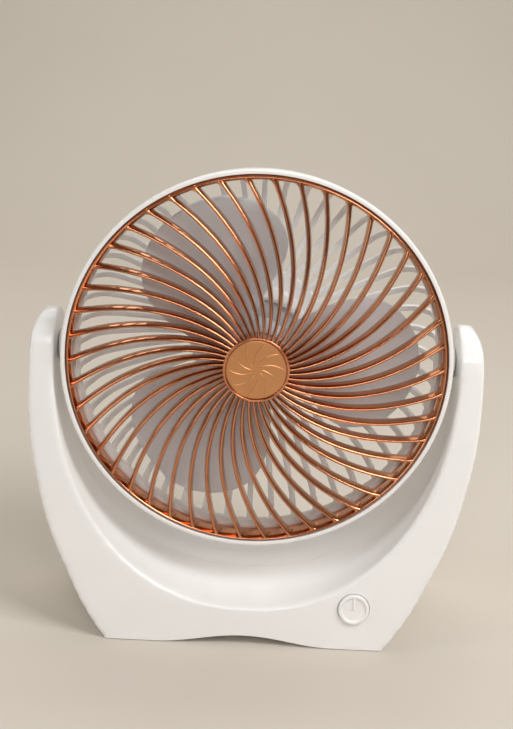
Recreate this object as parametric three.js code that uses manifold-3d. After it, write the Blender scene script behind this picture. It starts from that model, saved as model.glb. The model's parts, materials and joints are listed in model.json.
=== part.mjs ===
// Desk fan: a U-shaped stand, a head that tilts between its two arms, an impeller, a push button
// and a USB lead. Millimetres, +Z up. The origin is the middle of the footprint at table height.
// The fan faces -Y, and +X is on the right of someone who looks at its front.
import * as THREE from "three";
import { mergeVertices } from "three/addons/utils/BufferGeometryUtils.js";
import Module from "manifold-3d";

const wasm = await Module();
wasm.setup();

// ---------------------------------------------------------------- driving dimensions
const GAP = 0.3; // between pieces that touch
const WALL = 2.6;

// Stand
const PIVOT_Y = -5;
const PIVOT_Z = 139;
const FOOT_FLARE = 0.72; // how much wider the stand gets for each mm of height, at the feet
const ARM_TOP_R = 19; // round top of an arm, about the pivot, seen from the side
const FOOT_FRONT_Y = -45;
const FOOT_REAR_Y = 45;
const SHELL_Z = 0.4; // lower edge of the shells, above the table
const ARCH_HEIGHT = 4.6;
const ARCH_HALF_WIDTH = 44;
const SLOT_HALF_WIDTH = 97; // inner faces of the arms
const BOWL_DEPTH = 115; // from the pivot down to the bowl, at y = 0
const BOWL_FLARE = 0.115; // how much deeper the bowl gets for each mm towards the front
const BOWL_POWER = 2.2; // 2 would be an ellipse
const PLATE_Z = 5.2;
const PLATE_T = 2;
const SCREW_PLACES = [-60, 60].flatMap((x) => [-20, 12].map((y) => [x, y]));
const FOOT_PLACES = [-51, 51].flatMap((x) => [-30, 30].map((y) => [x, y]));
const PAD_R = 7;
const PAD_T = 1.4;

// Button, on the front face
const BUTTON_X = 53.5;
const BUTTON_Z = 21;
const BUTTON_R = 7.75;
const BUTTON_PROUD = 1.5;

// Head, measured from the pivot: y is along the fan's axis, and its front is at -RIM_Y
const RIM_Y = 22;
const BEZEL_R = 94;
const BEZEL_BACK_R = 91.8;
const SHELF_OPEN_R = 87.6; // opening of the bezel's shelf and of the guard's rim
const RING_R = 91;
const RING_OPEN_R = 88.5;
const RING_BACK_Y = -10.5;
const SHELF_BACK_Y = -5.2;
const GUARD_RIM_Y = [-4.9, -0.7];
const GUARD_RIM_R = 91.4;
const PIVOT_PAD_X = [88, 93.4]; // blocks on the guard that hold the pivot pins
const GUARD_PLATE_Y = 35.2;
const GUARD_RIBS = 48;
const FINS = 46;
const FIN_PHASE = 0.355; // place of the first fin, as a share of the space between two
const FIN_FRONT_WIDTH = 1.3;
const FIN_BACK_WIDTH = 2.6; // away from the boss, where a fin narrows to half
const FIN_DEPTH = 5.5;
const BOSS_R = 16;
const BOSS_FRONT_Y = -28;
const BADGE_R = 14.4;
const HUB_R = 16;
const BLADES = 3;
const BLADE_R = 80;
const BLADE_T = 1.6;
const MOTOR_R = 23.4;
const SHAFT_R = 2;
const PIN_R = 2.5;

// USB lead
const CORD_D = 3.3;
const SOCKET_X = 28;
const SOCKET_Z = 12.4;
const COIL_X = -40;
const COIL_Y = 71.5;
const COIL_TURN_R = 17.4; // middle of the turns
const COIL_HALF_WIDTH = 6.9;
const COIL_Z = [0.8, 7.7];

// ---------------------------------------------------------------- colours
const finish = (color, roughness, metalness = 0) => ({ color, roughness, metalness });
const WHITE = finish(0xf1efec, 0.3);
const WHITE_DARKER = finish(0xe3e1de, 0.4);
const COPPER = finish(0xc07a50, 0.22, 1);
const BADGE = finish(0xd08f5c, 0.35, 1);
const BLADE = finish(0xbdb8b6, 0.35);
const STEEL = finish(0xb5b7ba, 0.3, 1);
const RUBBER = finish(0x2b2b2d, 0.9);
const BOARD = finish(0x1f5a38, 0.6);
const DARK = finish(0x2c2c30, 0.5);
const CORD = finish(0xf3f2f0, 0.45);

// ---------------------------------------------------------------- solids
const V2 = (x, y) => new THREE.Vector2(x, y);
const V3 = (x, y, z) => new THREE.Vector3(x, y, z);

// A three.js geometry as a manifold solid.
function solid(geometry) {
  const bare = new THREE.BufferGeometry();
  const flat = geometry.index ? geometry.toNonIndexed() : geometry;
  bare.setAttribute("position", flat.getAttribute("position"));
  const merged = mergeVertices(bare, 1e-4);
  const vertProperties = merged.attributes.position.array;
  const triVerts = new Uint32Array(merged.index.array);
  return new wasm.Manifold(new wasm.Mesh({ numProp: 3, vertProperties, triVerts }));
}

// A manifold solid as a flat-shaded three.js geometry.
function geometryOf(body) {
  const mesh = body.getMesh();
  const geometry = new THREE.BufferGeometry();
  geometry.setAttribute("position", new THREE.BufferAttribute(mesh.vertProperties, 3));
  geometry.setIndex(new THREE.BufferAttribute(mesh.triVerts, 1));
  const flat = geometry.toNonIndexed();
  flat.computeVertexNormals();
  return flat;
}

const join = (first, ...others) => others.flat().reduce((a, b) => a.add(b), first);
const cut = (first, ...others) => others.flat().reduce((a, b) => a.subtract(b), first);

// A closed profile of [radius, height] pairs, turned about Y.
function turned(profile, segments = 20) {
  const points = profile.map(([r, y]) => V2(r, y));
  const onAxis = points[0].x === 0 && points[points.length - 1].x === 0;
  const loop = onAxis ? points : [...points, points[0].clone()];
  if (THREE.ShapeUtils.area(points) < 0) loop.reverse();
  return new THREE.LatheGeometry(loop, segments);
}

// A disc or a washer about Y, between two heights.
const ring = (inner, outer, y0, y1, segments = 20) =>
  turned([[inner, y0], [outer, y0], [outer, y1], [inner, y1]], segments);

// Turns a geometry's Y axis, the one that turned() uses, to +X or +Z.
const yToX = (geometry) => geometry.rotateZ(-Math.PI / 2);
const yToZ = (geometry) => geometry.rotateX(Math.PI / 2);

const box = (x, y, z) =>
  new THREE.BoxGeometry(x[1] - x[0], y[1] - y[0], z[1] - z[0]).translate(
    (x[0] + x[1]) / 2, (y[0] + y[1]) / 2, (z[0] + z[1]) / 2);

// A shape in XZ, extruded along Y.
const acrossY = (shape, [y0, y1], curveSegments = 12) =>
  new THREE.ExtrudeGeometry(shape, { depth: y1 - y0, bevelEnabled: false, curveSegments })
    .rotateX(Math.PI / 2)
    .translate(0, y1, 0);

// A shape whose x is Y and whose y is Z, extruded along X.
const acrossX = (shape, [x0, x1], curveSegments = 12) =>
  new THREE.ExtrudeGeometry(shape, { depth: x1 - x0, bevelEnabled: false, curveSegments })
    .applyMatrix4(new THREE.Matrix4().makeBasis(V3(0, 1, 0), V3(0, 0, 1), V3(1, 0, 0)))
    .translate(x0, 0, 0);

// Closed rings with the same number of points, joined into a skin with a cap at each end.
function lofted(rings) {
  const count = rings[0].length;
  const position = rings.flat().flatMap((p) => [p.x, p.y, p.z]);
  const index = [];
  for (let i = 0; i + 1 < rings.length; i++)
    for (let j = 0; j < count; j++) {
      const a = i * count + j;
      const b = i * count + ((j + 1) % count);
      index.push(a, b, b + count, a, b + count, a + count);
    }
  const last = (rings.length - 1) * count;
  for (let j = 1; j + 1 < count; j++) {
    index.push(0, j + 1, j);
    index.push(last, last + j, last + j + 1);
  }
  const geometry = new THREE.BufferGeometry();
  geometry.setAttribute("position", new THREE.Float32BufferAttribute(position, 3));
  geometry.setIndex(index);
  return geometry;
}

// A round tube along points, for wires and the lead.
function tube(points, radius, steps, sides = 8) {
  const section = new THREE.Shape();
  for (let i = 0; i < sides; i++) {
    const angle = (2 * Math.PI * i) / sides;
    const corner = V2(radius * Math.cos(angle), radius * Math.sin(angle));
    if (i) section.lineTo(corner.x, corner.y);
    else section.moveTo(corner.x, corner.y);
  }
  const extrudePath = new THREE.CatmullRomCurve3(points.map((p) => V3(...p)));
  return new THREE.ExtrudeGeometry(section, { steps, bevelEnabled: false, extrudePath });
}

// A screw about Y whose head sits at y = 0 and whose shank goes to +length.
const screw = (headR, headT, shankR, length) =>
  turned([[0, -headT], [headR, -headT], [headR, 0], [shankR, 0], [shankR, length], [0, length]], 16);

// A point of the head, by its distance from the fan's axis and its angle clockwise from the top.
const polar = (r, angle, y) => V3(r * Math.sin(angle), y, r * Math.cos(angle));

const root = new THREE.Group();
const head = new THREE.Group();
head.position.set(0, PIVOT_Y, PIVOT_Z);
root.add(head);

function add(parent, name, shape, look) {
  const geometry = shape instanceof THREE.BufferGeometry ? shape : geometryOf(shape);
  const mesh = new THREE.Mesh(geometry, new THREE.MeshStandardMaterial(look));
  mesh.name = name;
  parent.add(mesh);
  return mesh;
}

// ---------------------------------------------------------------- stand
// The front outline of the stand: flat feet, flared sides and rounded shoulders.
function frontOutline(inset) {
  const side = [
    [69, 0], [78.2, 13], [89.8, 36], [98.6, 57], [104.6, 80], [108.4, 102], [109.6, 124],
    [109.2, 140], [108.2, 150], [105.6, 156], [102.5, PIVOT_Z + ARM_TOP_R],
  ];
  const right = side.map(([x, z]) => V2(x - 1.2 * inset, z));
  const below = 3 * inset;
  right[0].set(right[0].x - FOOT_FLARE * below, SHELL_Z - below);
  const left = right.map((p) => V2(-p.x, p.y)).reverse();
  const shape = new THREE.Shape().moveTo(right[0].x, right[0].y);
  shape.splineThru(right.slice(1));
  shape.lineTo(left[0].x, left[0].y);
  shape.splineThru(left.slice(1));
  return shape;
}

// The direction, seen from the side, of the normal of the face that rises from a foot to the top.
function faceAngle(footY) {
  const distance = Math.hypot(PIVOT_Y - footY, PIVOT_Z - SHELL_Z);
  const toFoot = Math.atan2(SHELL_Z - PIVOT_Z, footY - PIVOT_Y);
  return toFoot + Math.sign(footY - PIVOT_Y) * Math.acos(ARM_TOP_R / distance);
}

// Where that face is at a height, moved in by inset.
function faceY(footY, inset, z) {
  const angle = faceAngle(footY);
  return PIVOT_Y + (ARM_TOP_R - inset - Math.sin(angle) * (z - PIVOT_Z)) / Math.cos(angle);
}

// The side outline: leaning front and rear faces, tangent to the round top.
function sideOutline(inset) {
  const low = SHELL_Z - 3 * inset;
  const shape = new THREE.Shape().moveTo(faceY(FOOT_FRONT_Y, inset, low), low);
  shape.lineTo(faceY(FOOT_REAR_Y, inset, low), low);
  const [rear, front] = [faceAngle(FOOT_REAR_Y), faceAngle(FOOT_FRONT_Y)];
  return shape.absarc(PIVOT_Y, PIVOT_Z, ARM_TOP_R - inset, rear, front, false);
}

// What the slot and the flared bowl between the arms take away, grown by outset.
function bowlCutter(outset) {
  const shape = new THREE.Shape();
  const halfWidth = SLOT_HALF_WIDTH + outset;
  const steps = 24;
  for (let i = 0; i <= steps; i++) {
    const angle = (Math.PI * i) / steps;
    const across = Math.cos(angle);
    const x = -halfWidth * Math.sign(across) * Math.abs(across) ** (2 / BOWL_POWER);
    const z = -(Math.sin(angle) ** (2 / BOWL_POWER));
    if (i) shape.lineTo(x, z);
    else shape.moveTo(x, z);
  }
  shape.lineTo(halfWidth, 1);
  shape.lineTo(-halfWidth, 1);
  const geometry = acrossY(shape, [-60, 60]);
  const place = geometry.getAttribute("position");
  for (let i = 0; i < place.count; i++) {
    const depth = BOWL_DEPTH + outset - BOWL_FLARE * place.getY(i);
    place.setZ(i, PIVOT_Z + place.getZ(i) * (place.getZ(i) < 0 ? depth : 60));
  }
  return solid(geometry);
}

// The stand's whole form, with every face moved in by inset.
function standForm(inset) {
  const front = solid(acrossY(frontOutline(inset), [-60, 60], 2));
  const side = solid(acrossX(sideOutline(inset), [-130, 130], 10));
  return front.intersect(side).subtract(bowlCutter(inset));
}

function archCutter() {
  const shape = new THREE.Shape().moveTo(-ARCH_HALF_WIDTH, -1);
  const steps = 12;
  for (let i = 0; i <= steps; i++) {
    const x = ARCH_HALF_WIDTH * ((2 * i) / steps - 1);
    const rise = 0.5 + 0.5 * Math.cos((Math.PI * x) / ARCH_HALF_WIDTH);
    shape.lineTo(x, SHELL_Z - 0.01 + ARCH_HEIGHT * rise);
  }
  shape.lineTo(ARCH_HALF_WIDTH, -1);
  return solid(acrossY(shape, [-60, 60]));
}

// A frame on the front face, at the middle of the button, with Y pointing into the stand.
function buttonFrame() {
  const group = new THREE.Group();
  group.position.set(BUTTON_X, faceY(FOOT_FRONT_Y, 0, BUTTON_Z), BUTTON_Z);
  group.rotation.x = Math.PI + faceAngle(FOOT_FRONT_Y);
  group.updateMatrixWorld(true);
  return group;
}

const outer = standForm(0);
const cavity = standForm(WALL);
const buttonPlace = buttonFrame();
const PLATE_TOP = PLATE_Z + PLATE_T;
const BUSH_R = 5.6;
const ARM_BOSS_X = [SLOT_HALF_WIDTH, SLOT_HALF_WIDTH + 4.4];

function buildShells() {
  const shell = cut(outer, cavity, archCutter());
  const pillars = SCREW_PLACES.map(([x, y]) =>
    solid(yToZ(ring(1.5, 3.4, PLATE_TOP + GAP, 60, 16)).translate(x, y, 0)).intersect(outer));
  const collars = [-1, 1].map((side) => {
    const x = [ARM_BOSS_X[0] * side, ARM_BOSS_X[1] * side].sort((a, b) => a - b);
    return solid(yToX(ring(BUSH_R + GAP, 9, x[0], x[1])).translate(0, PIVOT_Y, PIVOT_Z));
  });
  const bore = solid(yToX(ring(0, BUSH_R + GAP, -130, 130)).translate(0, PIVOT_Y, PIVOT_Z));
  const bores = bore.intersect(solid(box([-102, 102], [-60, 60], [0, 200])));
  const buttonHole = solid(
    ring(0, BUTTON_R + GAP, -5, 8, 20).applyMatrix4(buttonPlace.matrixWorld));
  const socketHole = solid(
    box([SOCKET_X - 6, SOCKET_X + 6], [30, 60], [SOCKET_Z - 4.2, SOCKET_Z + 4.2]));
  const whole = cut(join(shell, pillars, collars), bores, buttonHole, socketHole);
  const ahead = solid(box([-130, 130], [-80, PIVOT_Y - GAP / 2], [-10, 200]));
  const behind = solid(box([-130, 130], [PIVOT_Y + GAP / 2, 80], [-10, 200]));
  add(root, "base_front_shell", whole.intersect(ahead), WHITE);
  add(root, "base_rear_shell", whole.intersect(behind), WHITE);
}

function buildBottom() {
  const slab = solid(box([-130, 130], [-80, 80], [PLATE_Z, PLATE_TOP]));
  const posts = FOOT_PLACES.map(([x, y]) =>
    solid(yToZ(ring(0, PAD_R - 0.5, PAD_T + GAP, PLATE_Z + 1)).translate(x, y, 0)));
  const standoffs = [[16, 8], [40, 8], [28, 22]].map(([x, y]) =>
    solid(yToZ(ring(0, 2, PLATE_Z + 1, PLATE_TOP + 1.5, 12)).translate(x, y, 0)));
  const holes = SCREW_PLACES.map(([x, y]) =>
    solid(yToZ(ring(0, 1.5, 0, 20, 16)).translate(x, y, 0)));
  const flat = standForm(WALL + GAP).intersect(slab);
  add(root, "base_bottom_plate", cut(join(flat, posts, standoffs), holes), WHITE_DARKER);
  FOOT_PLACES.forEach(([x, y], i) => {
    const pad = yToZ(ring(0, PAD_R, 0, PAD_T)).translate(x, y, 0);
    add(root, `foot_pad_${i + 1}`, pad, RUBBER);
  });
  SCREW_PLACES.forEach(([x, y], i) => {
    const part = yToZ(screw(2.6, 1.6, 1.2, 9)).translate(x, y, PLATE_Z - GAP);
    add(root, `base_screw_${i + 1}`, part, STEEL);
  });
}

function buildElectronics() {
  const boardZ = PLATE_TOP + 1.5 + GAP;
  add(root, "control_board", box([10, 46], [2, 37], [boardZ, boardZ + 1.6]), BOARD);
  const low = boardZ + 1.6 + GAP;
  const cell = solid(box([SOCKET_X - 4.3, SOCKET_X + 4.3], [29, 36.6], [low, low + 3.6]));
  const mouth = solid(box([SOCKET_X - 3.7, SOCKET_X + 3.7], [30.5, 40], [low + 0.5, low + 3.1]));
  add(root, "usb_socket", cut(cell, mouth), STEEL);
  const inFace = new THREE.Group();
  inFace.position.copy(buttonPlace.position);
  inFace.rotation.copy(buttonPlace.rotation);
  root.add(inFace);
  add(inFace, "tact_switch", box([-3, 3], [6.2, 9.6], [-3, 3]), DARK);
  add(inFace, "switch_board", box([-8, 8], [9.9, 11.5], [-6, 7]), BOARD);
  add(inFace, "power_button", buttonShape(), WHITE);
  const wire = [
    [50, 6, 12], [60, 4, 18], [72, 3, 30], [86, 2, 50], [95, 1, 75], [101.2, 0, 100], [103.6, 0, 118],
    [104.4, 0, 129],
  ];
  add(root, "arm_lead", tube(wire, 1.1, 18), WHITE_DARKER);
}

// The button about Y: a raised rim round a flat disc, a flange behind the wall and a plunger.
const buttonShape = () =>
  turned([
    [0, -BUTTON_PROUD + 0.5], [6.2, -BUTTON_PROUD + 0.5], [6.6, -BUTTON_PROUD], [7.3, -BUTTON_PROUD],
    [BUTTON_R, -BUTTON_PROUD + 0.5], [BUTTON_R, 3.2], [9.2, 3.2], [9.2, 4.2], [1.5, 4.2], [1.5, 5.1],
    [0, 5.1],
  ], 20);

// The bush, washer and pin of one side, about X at the pivot.
function buildPivots() {
  [["left", -1], ["right", 1]].forEach(([name, side]) => {
    const about = (geometry) => yToX(geometry).scale(side, 1, 1);
    const mirrored = (geometry) => (side > 0 ? geometry : flipped(geometry));
    const bush = turned([
      [PIN_R + GAP, 97.3], [BUSH_R, 97.3], [BUSH_R, 101.2], [PIN_R + GAP, 101.2],
    ]);
    const placed = mirrored(about(bush)).translate(0, PIVOT_Y, PIVOT_Z);
    add(root, `pivot_bush_${name}`, placed, WHITE_DARKER);
    const washer = mirrored(about(ring(PIN_R + GAP, 7, 94.4, 96.6)));
    add(head, `friction_washer_${name}`, washer, WHITE_DARKER);
    const pin = turned([
      [0, 89.2], [PIN_R, 89.2], [PIN_R, 101.5], [4.6, 101.5], [4.6, 103.2], [0, 103.2],
    ]);
    add(head, `pivot_pin_${name}`, mirrored(about(pin)), STEEL);
  });
}

// A mirrored geometry with its faces turned out again.
function flipped(geometry) {
  const flat = geometry.index ? geometry.toNonIndexed() : geometry;
  const place = flat.getAttribute("position").array;
  for (let i = 0; i < place.length; i += 9)
    for (let k = 0; k < 3; k++) [place[i + 3 + k], place[i + 6 + k]] = [place[i + 6 + k], place[i + 3 + k]];
  flat.computeVertexNormals();
  return flat;
}

// ---------------------------------------------------------------- head
const FIN_TURN = THREE.MathUtils.degToRad(30.1);
const FIN_CURL = THREE.MathUtils.degToRad(8.8);
const SCREW_CIRCLE_R = 89.5;
const SCREW_ANGLES = [41.25, 138.75, 221.25, 318.75].map(THREE.MathUtils.degToRad);
const onRim = (geometry, angle) => {
  const place = polar(SCREW_CIRCLE_R, angle, 0);
  return geometry.translate(place.x, 0, place.z);
};

function buildBezel() {
  const body = turned([
    [RING_R + GAP, -RIM_Y + 0.6], [RING_R + 0.9, -RIM_Y], [BEZEL_R - 1, -RIM_Y],
    [BEZEL_R, -RIM_Y + 1.2], [BEZEL_BACK_R, SHELF_BACK_Y], [SHELF_OPEN_R, SHELF_BACK_Y],
    [SHELF_OPEN_R, RING_BACK_Y + GAP], [RING_R + GAP, RING_BACK_Y + GAP],
  ], 64);
  const holes = SCREW_ANGLES.map((angle) => solid(onRim(ring(0, 1.25, -9, 0, 12), angle)));
  add(head, "front_bezel", cut(solid(body), holes), WHITE);
}

// How far in front of the pivot the grille's face is, at a share of the opening's radius.
const grilleY = (share) => -RIM_Y - (-RIM_Y - BOSS_FRONT_Y - 0.5) * (1 - share ** 2);

// One fin, from inside the boss to inside the ring: narrow in front, wider behind.
function fin(angle) {
  const stations = 5;
  const inner = BOSS_R - 1.5;
  const outerEnd = RING_OPEN_R + 1.5;
  const along = (r) => {
    const left = 1 - r / RING_OPEN_R;
    const share = Math.min(r / RING_OPEN_R, 1);
    return polar(r, angle + FIN_TURN * left + FIN_CURL * left ** 2, grilleY(share) + 0.3);
  };
  const rings = [];
  for (let i = 0; i < stations; i++) {
    const r = inner + ((outerEnd - inner) * i) / (stations - 1);
    const middle = along(r);
    const ahead = along(r + 0.5).sub(middle).setY(0).normalize();
    const side = V3(ahead.z, 0, -ahead.x);
    const taper = Math.min(1, 0.5 + (r - BOSS_R) / 40);
    const front = side.clone().multiplyScalar((FIN_FRONT_WIDTH * Math.sqrt(taper)) / 2);
    const wide = side.clone().multiplyScalar((FIN_BACK_WIDTH * taper) / 2);
    const back = middle.clone().add(V3(0, FIN_DEPTH, 0));
    rings.push([
      middle.clone().sub(front), middle.clone().add(front),
      back.clone().add(wide), back.clone().sub(wide),
    ]);
  }
  return solid(lofted(rings));
}

function buildGrille() {
  const rim = turned([
    [RING_OPEN_R + 1.3, -RIM_Y + 0.2], [RING_R - 0.5, -RIM_Y], [RING_R, -RIM_Y + 0.6],
    [RING_R, RING_BACK_Y], [RING_OPEN_R + 0.4, RING_BACK_Y], [RING_OPEN_R, -RIM_Y + 2],
  ], 2 * FINS);
  const boss = turned([
    [0, BOSS_FRONT_Y + 1.5], [BADGE_R + GAP, BOSS_FRONT_Y + 1.5], [BADGE_R + GAP, BOSS_FRONT_Y + 0.4],
    [BADGE_R + 0.6, BOSS_FRONT_Y], [BOSS_R - 0.4, BOSS_FRONT_Y + 0.3], [BOSS_R, BOSS_FRONT_Y + 1],
    [BOSS_R, -17], [0, -17],
  ], FINS);
  const fins = [];
  for (let i = 0; i < FINS; i++) fins.push(fin(((i + FIN_PHASE) * 2 * Math.PI) / FINS));
  add(head, "front_grille", join(solid(rim), solid(boss), fins), COPPER);
  const badge = ring(0, BADGE_R, BOSS_FRONT_Y + 0.3, BOSS_FRONT_Y + 1.2, 32);
  add(head, "grille_badge", badge, BADGE);
}

// One rib of the rear guard, along the bowl from the rim to the motor plate.
function rib(angle) {
  const meridian = [
    [90, -2], [88.6, 10], [79, 26.5], [57, 35], [34.5, 36.8],
  ];
  const thick = 2.4;
  const half = V3(1.5, 0, 0);
  const rings = meridian.map(([r, y], i) => {
    const before = meridian[Math.max(i - 1, 0)];
    const after = meridian[Math.min(i + 1, meridian.length - 1)];
    const inward = V3(0, before[0] - after[0], before[1] - after[1]).normalize().multiplyScalar(thick);
    const outside = V3(0, y, r);
    const inside = outside.clone().sub(V3(0, inward.y, -inward.z));
    return [
      outside.clone().sub(half), outside.clone().add(half), inside.clone().add(half),
      inside.clone().sub(half),
    ];
  });
  return solid(lofted(rings).rotateY(angle));
}

function buildGuard() {
  const rim = solid(ring(SHELF_OPEN_R, GUARD_RIM_R, GUARD_RIM_Y[0], GUARD_RIM_Y[1], 48));
  const ribs = [];
  for (let i = 0; i < GUARD_RIBS; i++) ribs.push(rib((i * 2 * Math.PI) / GUARD_RIBS));
  const plateBack = GUARD_PLATE_Y + 2.6;
  const motorCup = solid(turned([
    [6, GUARD_PLATE_Y], [24, GUARD_PLATE_Y], [24, 13], [26, 13], [26, GUARD_PLATE_Y],
    [35.6, GUARD_PLATE_Y - 1], [35.6, plateBack], [34, plateBack], [34, 43], [32, 43], [32, plateBack],
    [6, plateBack],
  ], 24));
  const pads = [-1, 1].map((side) => {
    const x = PIVOT_PAD_X.map((edge) => edge * side).sort((a, b) => a - b);
    return solid(box(x, [GUARD_RIM_Y[0], 9], [-8, 8]));
  });
  const pinHole = solid(yToX(ring(0, PIN_R + GAP, -120, 120)));
  const holes = SCREW_ANGLES.map((angle) => solid(onRim(ring(0, 1.25, -9, 0, 12), angle)));
  const motorHoles = MOTOR_SCREW_ANGLES.map((angle) => solid(onMotor(ring(0, 1.5, 30, 42, 12), angle)));
  const whole = cut(join(rim, motorCup, ribs, pads), pinHole, holes, motorHoles);
  add(head, "rear_guard", whole, WHITE);
  SCREW_ANGLES.forEach((angle, i) => {
    const part = screw(1.8, 1.5, 1, 7.4).rotateX(Math.PI).translate(0, GUARD_RIM_Y[1] + GAP, 0);
    add(head, `guard_screw_${i + 1}`, onRim(part, angle), STEEL);
  });
}

const MOTOR_SCREW_R = 14;
const MOTOR_SCREW_ANGLES = [0, 120, 240].map(THREE.MathUtils.degToRad);
const onMotor = (geometry, angle) => {
  const place = polar(MOTOR_SCREW_R, angle, 0);
  return geometry.translate(place.x, 0, place.z);
};

function buildMotor() {
  const bore = SHAFT_R + GAP;
  const can = solid(turned([
    [bore, 15.5], [MOTOR_R - 2, 15.5], [MOTOR_R, 17.5], [MOTOR_R, GUARD_PLATE_Y - GAP],
    [bore, GUARD_PLATE_Y - GAP],
  ], 24));
  const taps = MOTOR_SCREW_ANGLES.map((angle) => solid(onMotor(ring(0, 1.5, 30, 42, 12), angle)));
  add(head, "motor_can", cut(can, taps), STEEL);
  add(head, "motor_end_cap", ring(bore, 12, 12.9, 15.2, 24), DARK);
  MOTOR_SCREW_ANGLES.forEach((angle, i) => {
    const part = screw(2.6, 1.5, 1.2, 6).rotateX(Math.PI).translate(0, GUARD_PLATE_Y + 2.9, 0);
    add(head, `motor_screw_${i + 1}`, onMotor(part, angle), STEEL);
  });
  const cover = turned([
    [0, 46.4], [17, 46], [27, 44.6], [31.7, 42], [31.7, 39.4], [29.6, 39.4], [29.6, 41],
    [26, 42.6], [0, 44.2],
  ], 24);
  add(head, "motor_cover", cover, WHITE);
}

// The lead from the motor to the hollow of the right-hand arm, behind the rib at that side.
function buildMotorLead() {
  const path = [
    [36.5, 39.4, 0], [46, 38.6, 0], [62, 35.9, 0], [78.4, 29.6, 0], [86.6, 19.4, 0], [90.6, 10.4, 0],
  ];
  add(head, "motor_lead", tube(path, 1, 10), WHITE_DARKER);
}

// ---------------------------------------------------------------- impeller
// A petal-shaped blade: for each radius, where its middle is and how far it reaches to each side.
function blade(turn) {
  const stations = 9;
  const across = 5;
  const rings = [];
  for (let i = 0; i <= stations; i++) {
    const r = HUB_R - 2 + ((BLADE_R - HUB_R + 2) * i) / stations;
    const reach = 42 * Math.sqrt(1 - (r > 42 ? (r - 42) / (BLADE_R + 0.3 - 42) : (42 - r) / 60) ** 2);
    const middle = -26 - 17 * Math.max(0, 1 - (r - 18) / 42) ** 2;
    const axial = 9.5 * Math.min(1, 0.3 + (0.7 * reach) / 42);
    const at = (share, side) => {
      const angle = turn + THREE.MathUtils.degToRad(middle + reach * share);
      return polar(r, angle, 1 + axial * share + (side * BLADE_T) / 2);
    };
    const front = [];
    const back = [];
    for (let j = 0; j <= across; j++) {
      front.push(at((2 * j) / across - 1, -1));
      back.push(at(1 - (2 * j) / across, 1));
    }
    rings.push([...back, ...front]);
  }
  return solid(lofted(rings));
}

function buildImpeller() {
  const bore = SHAFT_R + GAP;
  const hub = solid(turned([
    [bore, -8.6], [9, -10], [13, -9.2], [HUB_R, -6], [HUB_R, 11], [13.4, 11], [13.4, -5], [5, -5],
    [5, 8], [bore, 8],
  ], 24));
  const blades = [];
  for (let i = 0; i < BLADES; i++) blades.push(blade((i * 2 * Math.PI) / BLADES));
  const clear = solid(ring(0, HUB_R - 1.5, -20, 20, 24));
  add(head, "impeller", join(hub, blades.map((b) => cut(b, clear))), BLADE);
  add(head, "motor_shaft", ring(0, SHAFT_R, -8, 33, 16), STEEL);
  add(head, "hub_cap", turned([[0, -13.4], [3, -13], [5, -11.6], [5, -10.4], [0, -10.4]]), BLADE);
}

// ---------------------------------------------------------------- USB lead
// From the plug the lead drops to the table, runs round behind the stand and goes into the coil.
const LEAD = [
  [28, 65.4, 12.4], [28, 69, 12], [27.6, 73, 10], [26.4, 77.4, 6.6], [23.8, 82, 3.6], [19.6, 86.4, 2],
  [14, 90, 1.7], [6, 93, 1.7], [-4, 94.65, 1.8], [-15, 95.25, 2.2], [-26, 94.75, 2.5],
];
// The free end leaves the coil's upper layer and goes into the big plug.
const TAIL = [[-25, 50.2, 5.9], [-20, 51.7, 5.4], [-15, 53, 4.7], [-11.6, 53.8, 4.3], [-9.6, 54, 4.2]];
const FAR_PLUG_X = -9.3;
const FAR_PLUG_Y = 54;
const FAR_PLUG_Z = 4.2;

function roundedBar(width, height, corner, length) {
  const [w, h] = [width / 2, height / 2];
  const shape = new THREE.Shape().moveTo(-w + corner, -h);
  shape.lineTo(w - corner, -h).absarc(w - corner, -h + corner, corner, -Math.PI / 2, 0);
  shape.lineTo(w, h - corner).absarc(w - corner, h - corner, corner, 0, Math.PI / 2);
  shape.lineTo(-w + corner, h).absarc(-w + corner, h - corner, corner, Math.PI / 2, Math.PI);
  shape.lineTo(-w, -h + corner).absarc(-w + corner, -h + corner, corner, Math.PI, 1.5 * Math.PI);
  return acrossY(shape, [0, length], 3);
}

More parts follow.
